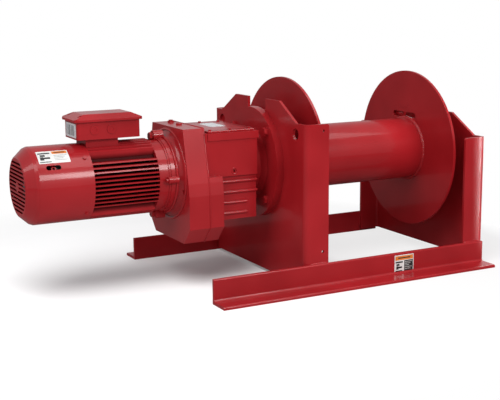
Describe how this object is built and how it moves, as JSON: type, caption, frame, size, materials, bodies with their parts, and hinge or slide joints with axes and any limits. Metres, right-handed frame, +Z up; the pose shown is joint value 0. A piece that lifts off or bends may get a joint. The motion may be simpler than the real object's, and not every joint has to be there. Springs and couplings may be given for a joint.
{
  "type": "electric drum winch",
  "caption": "Electric drum winch: a brake motor and in-line helical-style gear unit turn a flanged rope drum between two bent end plates on base angles.",
  "frame": {"origin": "on the floor below the middle of the whole machine", "axes": "+X along the drum axis from the motor to the tail bearing, +Y to the rear, +Z up"},
  "size_m": [1.6066, 0.804, 0.659],
  "materials": {
    "red_paint": "gloss",
    "painted_fasteners": "gloss",
    "bare_steel": "satin",
    "cast_iron": "matte",
    "copper_winding": "satin",
    "black_rubber": "matte",
    "black_plastic": "matte",
    "friction_lining": "matte"
  },
  "bodies": {
    "frame": {"front_base_angle": "red_paint", "rear_base_angle": "red_paint", "drive_end_plate": "red_paint", "tail_end_plate": "red_paint", "tail_bearing_housing": "red_paint", "tail_bearing_outer_ring": "bare_steel", "tail_bearing_bolts": "painted_fasteners", "gear_housing": "red_paint", "input_cover": "red_paint", "inspection_cover": "red_paint", "inspection_cover_screws": "painted_fasteners", "output_flange_bolts": "painted_fasteners", "oil_plugs": "painted_fasteners", "shaft_seals": "black_rubber", "gearbox_bearing_outers": "bare_steel", "motor_frame": "red_paint", "drive_end_shield": "red_paint", "motor_flange_bolts": "painted_fasteners", "rear_end_shield": "cast_iron", "stator_core": "cast_iron", "stator_windings": "copper_winding", "motor_bearing_outers": "bare_steel", "brake_magnet_body": "cast_iron", "brake_coil": "copper_winding", "brake_springs": "bare_steel", "brake_bolts": "bare_steel", "fan_cowl": "red_paint", "cowl_screws": "painted_fasteners", "terminal_box": "red_paint", "terminal_box_gasket": "black_rubber", "terminal_box_lid": "red_paint", "lid_screws": "painted_fasteners", "terminal_block": "black_plastic", "cable_plugs": "painted_fasteners"},
    "drum": {"drum_barrel": "red_paint", "drive_side_flange": "red_paint", "tail_side_flange": "red_paint", "drive_hub": "cast_iron", "tail_hub": "cast_iron", "tail_shaft": "bare_steel", "rope_keeper": "bare_steel", "rope_keeper_bolts": "painted_fasteners", "output_shaft": "bare_steel", "shaft_key": "bare_steel", "output_gear": "bare_steel", "output_bearing_inners": "bare_steel", "tail_bearing_insert": "bare_steel"},
    "countershaft": {"countershaft": "bare_steel", "intermediate_gear": "bare_steel", "counter_bearing_inners": "bare_steel"},
    "rotor": {"rotor_shaft": "bare_steel", "input_pinion": "bare_steel", "rotor_core": "cast_iron", "motor_bearing_inners": "bare_steel", "cooling_fan": "black_plastic", "brake_disc": "friction_lining"},
    "brake_armature": {"brake_armature": "bare_steel"},
    "release_yoke": {"release_yoke": "red_paint"}
  },
  "joints": [
    {"name": "drum_spin", "type": "hinge", "parent": "frame", "child": "drum", "pos_m": [0.13525, 0, 0.3775], "axis": [1, 0, 0], "continuous": true},
    {"name": "countershaft_spin", "type": "hinge", "parent": "frame", "child": "countershaft", "pos_m": [-0.22925, 0, 0.262], "axis": [1, 0, 0], "continuous": true},
    {"name": "rotor_spin", "type": "hinge", "parent": "frame", "child": "rotor", "pos_m": [-0.48125, 0, 0.362], "axis": [1, 0, 0], "continuous": true},
    {"name": "brake_armature_slide", "type": "slide", "parent": "frame", "child": "brake_armature", "axis": [-1, 0, 0], "range_m": [0, 0.0006], "stiffness_N_per_m": 20000, "springref_m": -0.01},
    {"name": "release_yoke_tilt", "type": "hinge", "parent": "frame", "child": "release_yoke", "pos_m": [-0.70665, 0.05837, 0.32336], "axis": [0, -0.5519, -0.8339], "range_deg": [0, 4], "stiffness_Nm_per_rad": 20, "springref_deg": -5.73}
  ],
  "couplings": [
    {"joint": "countershaft_spin", "follows": "drum_spin", "ratio": -3.7143},
    {"joint": "rotor_spin", "follows": "drum_spin", "ratio": 19.143}
  ]
}
